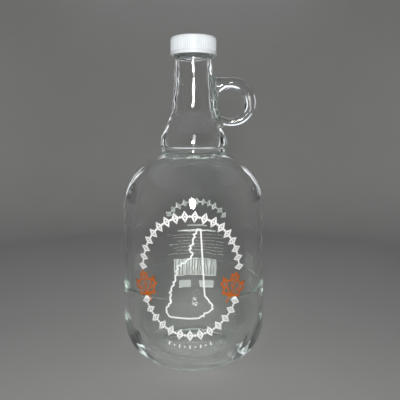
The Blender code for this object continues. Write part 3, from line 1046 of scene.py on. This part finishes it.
# %% [markdown]
# ## White polypropylene
# Cap plastic is satin rather than glossy, and a touch see-through: light goes a little way in and
# softens the ribs. It keeps the fine spark-eroded texture of its mould, and its white varies a little
# where the plastic flowed.
# %% Cap plastic
PLASTIC_DARK = "#E4EAED"
PLASTIC_LIGHT = "#EBF0F2"
PLASTIC_IOR = 1.49
FLOW_SIZE = 7.0
GRAIN = 0.35                               # the mould's texture, drawn coarser than it is so that it shows
GRAIN_HEIGHT = 0.03
LIGHT_DEPTH = 0.8                          # how far light gets in

white_polypropylene, tree, shader, output, place = new_material("white_polypropylene")
flow = add_node(tree, "ShaderNodeTexNoise", {"Vector": place}, {"Scale": per_mm(FLOW_SIZE), "Detail": 2.0})
tone = add_node(tree, "ShaderNodeMix", {"Factor": flow.outputs["Fac"]}, data_type="RGBA")
tone.inputs["A"].default_value = linear(PLASTIC_DARK)
tone.inputs["B"].default_value = linear(PLASTIC_LIGHT)
tree.links.new(tone.outputs["Result"], shader.inputs["Base Color"])
grain = add_node(tree, "ShaderNodeTexNoise", {"Vector": place}, {"Scale": per_mm(GRAIN), "Detail": 2.0})
satin = add_node(tree, "ShaderNodeMapRange", {"Value": grain.outputs["Fac"]},
                 {"To Min": 0.34, "To Max": 0.46})
tree.links.new(satin.outputs["Result"], shader.inputs["Roughness"])
relief = add_node(tree, "ShaderNodeBump", {"Height": grain.outputs["Fac"]},
                  {"Strength": 0.15, "Distance": GRAIN_HEIGHT * MM})
tree.links.new(relief.outputs["Normal"], shader.inputs["Normal"])
shader.inputs["IOR"].default_value = PLASTIC_IOR
shader.inputs["Subsurface Weight"].default_value = 0.25
shader.inputs["Subsurface Radius"].default_value = (1.0, 0.9, 0.8)
shader.inputs["Subsurface Scale"].default_value = LIGHT_DEPTH * MM
cap.data.materials.clear()
cap.data.materials.append(white_polypropylene)
print(cap.name, "is", white_polypropylene.name)

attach(cap, "root")
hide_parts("cap")

# %% [markdown]
# ## The decoration
# The enamel is a ceramic ink, screen printed through a stencil and fired onto the glass, where it stands
# up by a few hundredths of a millimetre. It is drawn flat first, like the stencil: a filled outline is
# inset by the width of the line, and its middle is deleted. Only afterwards is the flat sheet bent round
# the jug, shrunk onto the glass and given its thickness.
# %% Flat shapes
LONGEST_EDGE = 1.5                         # short enough to follow the round wall


def spread(points, longest=LONGEST_EDGE, closed=True):
    """The same outline with points added, so that no edge is longer than a limit."""
    ends = points[1:] + points[:1] if closed else points[1:]
    finer = []
    for here, there in zip(points, ends):
        cuts = max(1, math.ceil(math.dist(here, there) / longest))
        finer += [tuple(a + (b - a) * i / cuts for a, b in zip(here, there)) for i in range(cuts)]
    return finer if closed else finer + [points[-1]]


def face_front(obj):
    """In edit mode: turns flat faces towards the viewer at -Y."""
    bpy.ops.mesh.select_all(action="SELECT")
    cage = bmesh.from_edit_mesh(obj.data)
    cage.normal_update()
    if sum(face.normal.y * face.calc_area() for face in cage.faces) > 0.0:
        bpy.ops.mesh.flip_normals()


def filled_shape(name, points):
    """A flat face inside an outline of (across, up) points in millimetres."""
    obj = draw_line(name, spread(points))
    edit(obj)
    bpy.ops.mesh.select_mode(type="VERT")
    bpy.ops.mesh.select_all(action="SELECT")
    bpy.ops.mesh.edge_face_add()
    face_front(obj)
    leave_edit()
    return obj


def line_shape(name, points, width):
    """An outline drawn with a line of even width, which lies on the inner side of the points."""
    obj = filled_shape(name, points)
    edit(obj)
    bpy.ops.mesh.select_mode(type="FACE")
    bpy.ops.mesh.select_all(action="SELECT")
    bpy.ops.mesh.inset(thickness=width * MM, depth=0.0)
    bpy.ops.mesh.delete(type="ONLY_FACE")
    leave_edit()
    return obj


def stroke(name, start, end, width, end_width=None):
    """A straight stroke between two points, which may taper."""
    (x0, z0), (x1, z1) = start, end
    length = math.hypot(x1 - x0, z1 - z0)
    side = ((z1 - z0) / length / 2, -(x1 - x0) / length / 2)
    far = width if end_width is None else end_width
    corners = [(x0 + side[0] * width, z0 + side[1] * width), (x1 + side[0] * far, z1 + side[1] * far),
               (x1 - side[0] * far, z1 - side[1] * far), (x0 - side[0] * width, z0 - side[1] * width)]
    return filled_shape(name, corners)


def place_copy(obj, across, up, turn=0.0, size=1.0, mirror=False):
    """A copy of a flat shape, turned clockwise by degrees, resized and moved, with its own mesh."""
    copy = obj.copy()
    copy.data = obj.data.copy()
    bpy.context.scene.collection.objects.link(copy)
    copy.rotation_euler = (0.0, math.radians(turn), 0.0)
    copy.scale = (-size if mirror else size, size, size)
    copy.location = (across * MM, 0.0, up * MM)
    apply_all(copy)
    edit(copy)
    face_front(copy)
    leave_edit()
    return copy


# %% [markdown]
# ### A border of lozenges and beads
# Two arcs of a traditional border run round the middle of the decoration. One lozenge with an eye and
# one bead are drawn here, to be copied along an oval.
# %% Draw the two marks
LINE_WIDTH = 1.25
LOZENGE_WIDTH = 5.1
LOZENGE_HEIGHT = 8.1
EYE_SIZE = 1.5
EYE_SIDES = 8
BEAD_SIZE = 1.7
BEAD_SIDES = 10


def circle_points(size, sides):
    """The corners of a regular polygon this far across, round the middle."""
    angles = [math.tau * i / sides for i in range(sides)]
    return [(size / 2 * math.cos(a), size / 2 * math.sin(a)) for a in angles]


half_wide, half_high = LOZENGE_WIDTH / 2, LOZENGE_HEIGHT / 2
lozenge_corners = [(half_wide, 0.0), (0.0, half_high), (-half_wide, 0.0), (0.0, -half_high)]
lozenge_line = line_shape("lozenge", lozenge_corners, LINE_WIDTH)
lozenge = join([lozenge_line, filled_shape("eye", circle_points(EYE_SIZE, EYE_SIDES))], "lozenge")
bead_mark = filled_shape("bead", circle_points(BEAD_SIZE, BEAD_SIDES))
print("lozenge", triangles(lozenge), "bead", triangles(bead_mark), "triangles")

# %% [markdown]
# Equal steps of angle would crowd the marks where the oval bends most. So the length of the line is
# added up finely, and the marks stand at equal steps of that length, each turned to point outwards.
# %% Set them round the oval
OVAL_Z = 74.6
OVAL_HALF_WIDTH = 35.4
OVAL_HALF_HEIGHT = 40.1
OVAL_FINENESS = 400                        # points at which the length is added up
UPPER_HALF = 84.0                          # degrees to either side of the top
LOWER_HALF = 62.0                          # and of the bottom
UPPER_MARKS = 18
LOWER_MARKS = 13


def border(centre_z, half_width, half_height, half_angle, count, size=1.0):
    """Lozenges and beads in turn along the top of an oval, or its bottom if the height is negative."""
    steps = 2 * count - 2
    fine = np.radians(np.linspace(-half_angle, half_angle, OVAL_FINENESS))
    across, up = half_width * np.sin(fine), half_height * np.cos(fine)
    travelled = np.concatenate([[0.0], np.cumsum(np.hypot(np.diff(across), np.diff(up)))])
    made = []
    for i in range(steps + 1):
        angle = float(np.interp(travelled[-1] * i / steps, travelled, fine))
        x, z = half_width * math.sin(angle), half_height * math.cos(angle)
        turn = math.degrees(math.atan2(x / half_width ** 2, z / half_height ** 2))
        made.append(place_copy(bead_mark if i % 2 else lozenge, x, centre_z + z, turn, size))
    return made


front_white = border(OVAL_Z, OVAL_HALF_WIDTH, OVAL_HALF_HEIGHT, UPPER_HALF, UPPER_MARKS)
front_white += border(OVAL_Z, OVAL_HALF_WIDTH, -OVAL_HALF_HEIGHT, LOWER_HALF, LOWER_MARKS)
print("border", len(front_white), "marks")

# %% [markdown]
# ### A row of small bars
# Under the lower arc runs a short row of upright bars with beads between them, less than a third as high
# as the lozenges. It follows a circle, so equal steps of angle are good enough here.
# %% Small bars
BAR_WIDTH = 0.9
BAR_HEIGHT = 2.4
SMALL_BEAD = 0.7                           # a bead's size here, as a share of one in the border
ROW_RADIUS = 47.0
ROW_CENTRE_Z = 73.5
ROW_HALF = 17.0                            # degrees to either side of the bottom
ROW_COUNT = 9

bar_wide, bar_high = BAR_WIDTH / 2, BAR_HEIGHT / 2
small_bar = filled_shape(
    "small_bar", [(-bar_wide, -bar_high), (bar_wide, -bar_high), (bar_wide, bar_high), (-bar_wide, bar_high)])
for i in range(ROW_COUNT):
    turn = -ROW_HALF + 2.0 * ROW_HALF * i / (ROW_COUNT - 1)
    across = ROW_RADIUS * math.sin(math.radians(turn))
    up = ROW_CENTRE_Z - ROW_RADIUS * math.cos(math.radians(turn))
    shape, size = (bead_mark, SMALL_BEAD) if i % 2 else (small_bar, 1.0)
    front_white.append(place_copy(shape, across, up, -turn, size))
print("row", ROW_COUNT, "marks")

# %% [markdown]
# ### The outline figure
# A tall figure like the outline of a piece of land stands in the middle, drawn in one white line: a
# straight right side, a ragged lower right side, a level foot and a left side that wavers. Its corners
# are listed one by one, and the wavering is a sum of two sines along the way.
# %% Draw the figure
FIGURE_LINE = 1.05
WAVER = 0.75                               # the furthest that the line strays
WAVER_STEP = 0.8
WAVER_LONG, WAVER_LONG_SHARE = 3.9, 0.6
WAVER_SHORT, WAVER_SHORT_SHARE = 2.6, 0.4

straight_side = [(7.6, 106.6), (9.9, 66.0), (10.3, 61.8)]
ragged_side = [(13.2, 58.4), (15.6, 54.2), (14.2, 50.9), (11.3, 49.9), (8.5, 47.5), (6.1, 46.4)]
foot_line = [(-0.1, 45.9), (-13.8, 46.4)]
left_side = [(-16.6, 49.8), (-15.6, 54.4), (-13.6, 56.0), (-13.8, 64.2), (-10.4, 72.4), (-8.6, 82.0)]
left_side += [(-3.6, 84.8), (1.2, 89.0), (-0.8, 93.6), (1.2, 97.0), (2.4, 103.0), (4.8, 106.8)]


def wavering(points):
    """A finely spread copy of a line, moved sideways by up to a fraction of a millimetre."""
    line = spread(points, WAVER_STEP, closed=False)
    moved = []
    gone = 0.0
    for i, (x, z) in enumerate(line):
        before, after = line[max(i - 1, 0)], line[min(i + 1, len(line) - 1)]
        length = math.dist(before, after)
        gone += math.dist(before, (x, z))
        side = ((after[1] - before[1]) / length, -(after[0] - before[0]) / length)
        long_wave = WAVER_LONG_SHARE * math.sin(math.tau * gone / WAVER_LONG)
        short_wave = WAVER_SHORT_SHARE * math.sin(math.tau * gone / WAVER_SHORT + 1.0)
        shift = WAVER * (long_wave + short_wave)
        moved.append((x + side[0] * shift, z + side[1] * shift))
    return moved


figure_outline = straight_side + wavering(ragged_side) + foot_line + wavering(left_side)
figure = line_shape("figure", figure_outline, FIGURE_LINE)
front_white.append(figure)
print("figure", triangles(figure), "triangles")

# %% [markdown]
# ### Two maple leaves
# A leaf is drawn by half: its right side as points from the tip to the stem, and the left side as their
# mirror image. The veins are tapering strokes, and the stem is a plain one.
# %% Draw a leaf
LEAF_LINE = 1.15
VEIN_WIDTH = 0.95
VEIN_TIP_WIDTH = 0.57
SIDE_VEIN_WIDTH = 0.665
SIDE_VEIN_TIP_WIDTH = 0.475
STEM_WIDTH = 1.14

leaf_side = [(0.0, 17.4), (1.5, 14.6), (3.5, 15.0), (3.0, 11.2), (5.6, 10.6), (9.2, 12.4)]
leaf_side += [(8.2, 8.8), (9.6, 7.2), (6.4, 4.6), (6.6, 1.0), (2.4, 0.9)]
leaf_notch = (0.0, 0.2)
leaf_outline = leaf_side + [leaf_notch] + [(-x, z) for x, z in reversed(leaf_side[1:])]
vein_root = (0.0, 1.4)
vein_tips = [(0.0, 14.0), (7.2, 10.2), (4.8, 2.8), (-7.2, 10.2), (-4.8, 2.8)]
stem_top, stem_end = (-1.0, 0.6), (-2.4, -3.4)
side_veins = []
for side in (1.0, -1.0):
    side_veins += [((0.0, 5.6), (2.2 * side, 9.4)), ((0.0, 9.6), (1.9 * side, 12.8))]
    side_veins += [((3.2 * side, 5.2), (7.4 * side, 6.6)), ((4.6 * side, 7.2), (5.4 * side, 9.9))]

leaf_parts = [line_shape("leaf", leaf_outline, LEAF_LINE)]
leaf_parts += [stroke("vein", vein_root, tip, VEIN_WIDTH, VEIN_TIP_WIDTH) for tip in vein_tips]
leaf_parts += [stroke("side_vein", start, tip, SIDE_VEIN_WIDTH, SIDE_VEIN_TIP_WIDTH)
               for start, tip in side_veins]
leaf_parts.append(stroke("stem", stem_top, stem_end, STEM_WIDTH))
leaf = join(leaf_parts, "leaf")
print("leaf", triangles(leaf), "triangles")

# %% [markdown]
# The two leaves fill the gaps at the oval's sides, where the upper and the lower arc stop. The left one
# is a mirror image, and both lean outwards.
# %% Set the leaves beside the border
LEAF_LEFT = -30.6
LEAF_RIGHT = 27.9
LEAF_UP = 58.4
LEAF_TURN = 17.0
LEAF_SIZE = 1.08

front_orange = [
    place_copy(leaf, LEAF_LEFT, LEAF_UP, -LEAF_TURN, LEAF_SIZE, mirror=True),
    place_copy(leaf, LEAF_RIGHT, LEAF_UP, LEAF_TURN, LEAF_SIZE)]
print(len(front_orange), "leaves")

# %% [markdown]
# ### The back
# The back carries a plainer print in white, which shows through the jug from the front: a small arc of
# the same border, two rules and rows of fine dashes. The dashes take their lengths in turn from a short
# list, and each row starts one further along it, so that no two rows beside each other are alike.
# %% The arc, the rules and the dashes
BACK_ARC_RADIUS = 34.0
BACK_ARC_Z = 76.0
BACK_ARC_HALF = 48.0                       # degrees to either side of the top
BACK_MARKS = 11
BACK_MARK_SIZE = 0.85                      # as a share of a mark at the front
# Each rule: half its length, its height up the jug, and its width
RULES = ((9.5, 88.6, 0.9), (17.5, 84.4, 1.1))
DASH_LENGTHS = (4.6, 2.8, 6.0, 3.4, 2.2, 5.2)
DASH_GAP = 1.1
DASH_WIDTH = 0.36
DASH_ROWS = 7
DASH_TOP_Z = 81.0
DASH_ROW_STEP = 2.8
DASH_LEFT = -24.0
DASH_RIGHTS = (25.0, 20.0, 15.0)           # the rows end here, in turn


def one_after_another(lengths, gap, start, end, first=0):
    """Starts and lengths of marks set one after another, their lengths taken in turn from a list."""
    marks = []
    while start < end:
        length = lengths[(first + len(marks)) % len(lengths)]
        marks.append((start, length))
        start += length + gap
    return marks


back_white = border(BACK_ARC_Z, BACK_ARC_RADIUS, BACK_ARC_RADIUS, BACK_ARC_HALF, BACK_MARKS, BACK_MARK_SIZE)
for half_length, up, width in RULES:
    back_white.append(stroke("rule", (-half_length, up), (half_length, up), width))
for row in range(DASH_ROWS):
    up = DASH_TOP_Z - DASH_ROW_STEP * row
    row_end = DASH_RIGHTS[row % len(DASH_RIGHTS)]
    for x, length in one_after_another(DASH_LENGTHS, DASH_GAP, DASH_LEFT, row_end, first=row):
        back_white.append(stroke("dash", (x, up), (x + length, up), DASH_WIDTH))
print("back", len(back_white), "shapes")

# %% [markdown]
# Lower down stands a pale panel of upright stripes on a line, with two plain blocks under it.
# %% The panel and the blocks
PANEL_LEFT = -18.4
PANEL_RIGHT = 20.0
PANEL_LOW = 45.0
PANEL_HIGH = 59.6
PANEL_LINE = 0.8
STRIPE_WIDTHS = (2.4, 1.2, 0.8, 2.9, 1.6)
STRIPE_GAP = 0.5
BLOCK_LOW = 33.6
# Each block: its middle, its top, and its width
BLOCKS = ((10.5, 40.0, 9.3), (-9.0, 40.4, 14.2))

stripes = one_after_another(STRIPE_WIDTHS, STRIPE_GAP, PANEL_LEFT, PANEL_RIGHT)
for x, width in stripes:
    middle = x + width / 2
    back_white.append(stroke("stripe", (middle, PANEL_LOW), (middle, PANEL_HIGH), width))
back_white.append(stroke("panel_foot", (PANEL_LEFT, PANEL_LOW), (PANEL_RIGHT, PANEL_LOW), PANEL_LINE))
for middle, top, width in BLOCKS:
    back_white.append(stroke("block", (middle, top), (middle, BLOCK_LOW), width))
print("back", len(back_white), "shapes,", len(stripes), "stripes")

# %% [markdown]
# ### From a flat stencil to enamel on glass
# Simple Deform bends the sheet round the jug's body. Shrinkwrap then sets every point a hair above the
# outside of the glass, over the ledge and down the heel too, and Solidify gives the ink its thickness,
# inwards, so that it bites into the glass and no gap shows. Each piece has two material slots, because
# Solidify can put the inner skin, which is what shows through the jug, into the second one.
# %% Wrap the sheets
PRINT_CENTRE = -2.6                        # how far round the glass the middle of the print lies
INK_THICKNESS = 0.08
INK_SMOOTH_ANGLE = 40.0                    # degrees: sharper edges than this stay crisp


def wrap(sheets, name, turn):
    """Joins flat sheets and lays them on the glass, turned round the axis by degrees."""
    ink = join(sheets, name)
    ink.data.materials.append(None)        # a slot for the outer skin
    ink.data.materials.append(None)        # and one for the inner skin
    edit(ink)
    bpy.ops.mesh.select_all(action="SELECT")
    bpy.ops.transform.translate(value=(PRINT_CENTRE * MM, 0.0, 0.0))
    leave_edit()
    across = [vert.co.x for vert in ink.data.vertices]
    bend = ink.modifiers.new("bend", "SIMPLE_DEFORM")
    bend.deform_method = "BEND"
    bend.deform_axis = "Z"
    bend.angle = (max(across) - min(across)) / (BODY_RADIUS * MM)
    apply_modifier(ink, bend)
    ink.location.y = -BODY_RADIUS * MM
    apply_all(ink)
    ink.rotation_euler.z = math.radians(turn)
    apply_all(ink)
    cling = ink.modifiers.new("cling", "SHRINKWRAP")
    cling.target = blank
    cling.wrap_method = "NEAREST_SURFACEPOINT"
    cling.wrap_mode = "ABOVE_SURFACE"
    cling.offset = INK_ABOVE * MM
    apply_modifier(ink, cling)
    thicken = ink.modifiers.new("thicken", "SOLIDIFY")
    thicken.thickness = INK_THICKNESS * MM
    thicken.offset = -1.0
    thicken.material_offset = 1
    apply_modifier(ink, thicken)
    bpy.ops.object.shade_smooth_by_angle(angle=math.radians(INK_SMOOTH_ANGLE))
    radii = [vert.co.xy.length / MM for vert in ink.data.vertices]
    print(name, triangles(ink), "triangles, radius", round(min(radii), 2), "to", round(max(radii), 2), "mm")
    return ink


white_front = wrap(front_white, "white_front_print", 0.0)
orange_front = wrap(front_orange, "orange_leaves", 0.0)
white_back = wrap(back_white, "white_back_print", 180.0)
for pattern in (lozenge, bead_mark, small_bar, leaf, blank):
    bpy.data.objects.remove(pattern)

# %% [markdown]
# ## Fired enamel
# Fired ceramic ink is ground glass and pigment: opaque, a little duller than the jug, and faintly grainy
# from the mesh of the screen. The underside, seen through the jug, is the same enamel given greyer copies
# of its colours: painted shade for the dimmer light that reaches it through the glass.
# %% The enamels
SCREEN_MESH = 0.25                         # the screen's threads, drawn coarser than they are so they show
INK_GRAIN_HEIGHT = 0.01
DENSITY_SIZE = 1.8                         # thicker and thinner patches of ink are this far apart


def fired_enamel(name, light, dark):
    """An enamel whose tone and gloss vary a little with how thickly the ink lies."""
    material, tree, shader, output, place = new_material(name)
    density = add_node(tree, "ShaderNodeTexNoise", {"Vector": place},
                       {"Scale": per_mm(DENSITY_SIZE), "Detail": 4.0})
    tone = add_node(tree, "ShaderNodeMix", {"Factor": density.outputs["Fac"]}, data_type="RGBA")
    tone.inputs["A"].default_value = linear(dark)
    tone.inputs["B"].default_value = linear(light)
    tree.links.new(tone.outputs["Result"], shader.inputs["Base Color"])
    gloss = add_node(tree, "ShaderNodeMapRange", {"Value": density.outputs["Fac"]},
                     {"To Min": 0.32, "To Max": 0.5})
    tree.links.new(gloss.outputs["Result"], shader.inputs["Roughness"])
    screen_grain = add_node(tree, "ShaderNodeTexNoise", {"Vector": place}, {"Scale": per_mm(SCREEN_MESH)})
    relief = add_node(tree, "ShaderNodeBump", {"Height": screen_grain.outputs["Fac"]},
                      {"Strength": 0.3, "Distance": INK_GRAIN_HEIGHT * MM})
    tree.links.new(relief.outputs["Normal"], shader.inputs["Normal"])
    return material


white_enamel = fired_enamel("white_enamel", light="#FAFAF8", dark="#EDEDEA")
orange_enamel = fired_enamel("orange_enamel", light="#D26F11", dark="#B0520A")
# The underside enamels are painted shade: greyer copies of the same inks, darker than their faces to stand in
# for the dim light behind the glass.
white_underside_painted_shade = fired_enamel("white_enamel_painted_shade", light="#E0E0DE", dark="#D0D0CF")
orange_underside_painted_shade = fired_enamel("orange_enamel_painted_shade", light="#BC6620", dark="#9E5014")
for ink, face, underside, slot in (
        (white_front, white_enamel, white_underside_painted_shade, "white_enamel"),
        (white_back, white_enamel, white_underside_painted_shade, "white_enamel"),
        (orange_front, orange_enamel, orange_underside_painted_shade, "orange_enamel")):
    ink.data.materials[0] = face
    ink.data.materials[1] = underside
    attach(ink, "root")
    print(ink.name, "is", face.name)

# %% [markdown]
# The rear lamp is there for the prints and the cap alone, so that they aren't dark from behind. Light
# linking keeps it off the floor: a linked lamp only lights what is in its collection of receivers.
# %% What the rear lamp lights
lit_from_behind = bpy.data.collections.new("lit_from_behind")
for obj in (cap, white_front, white_back, orange_front):
    lit_from_behind.objects.link(obj)
rear_fill.light_linking.receiver_collection = lit_from_behind
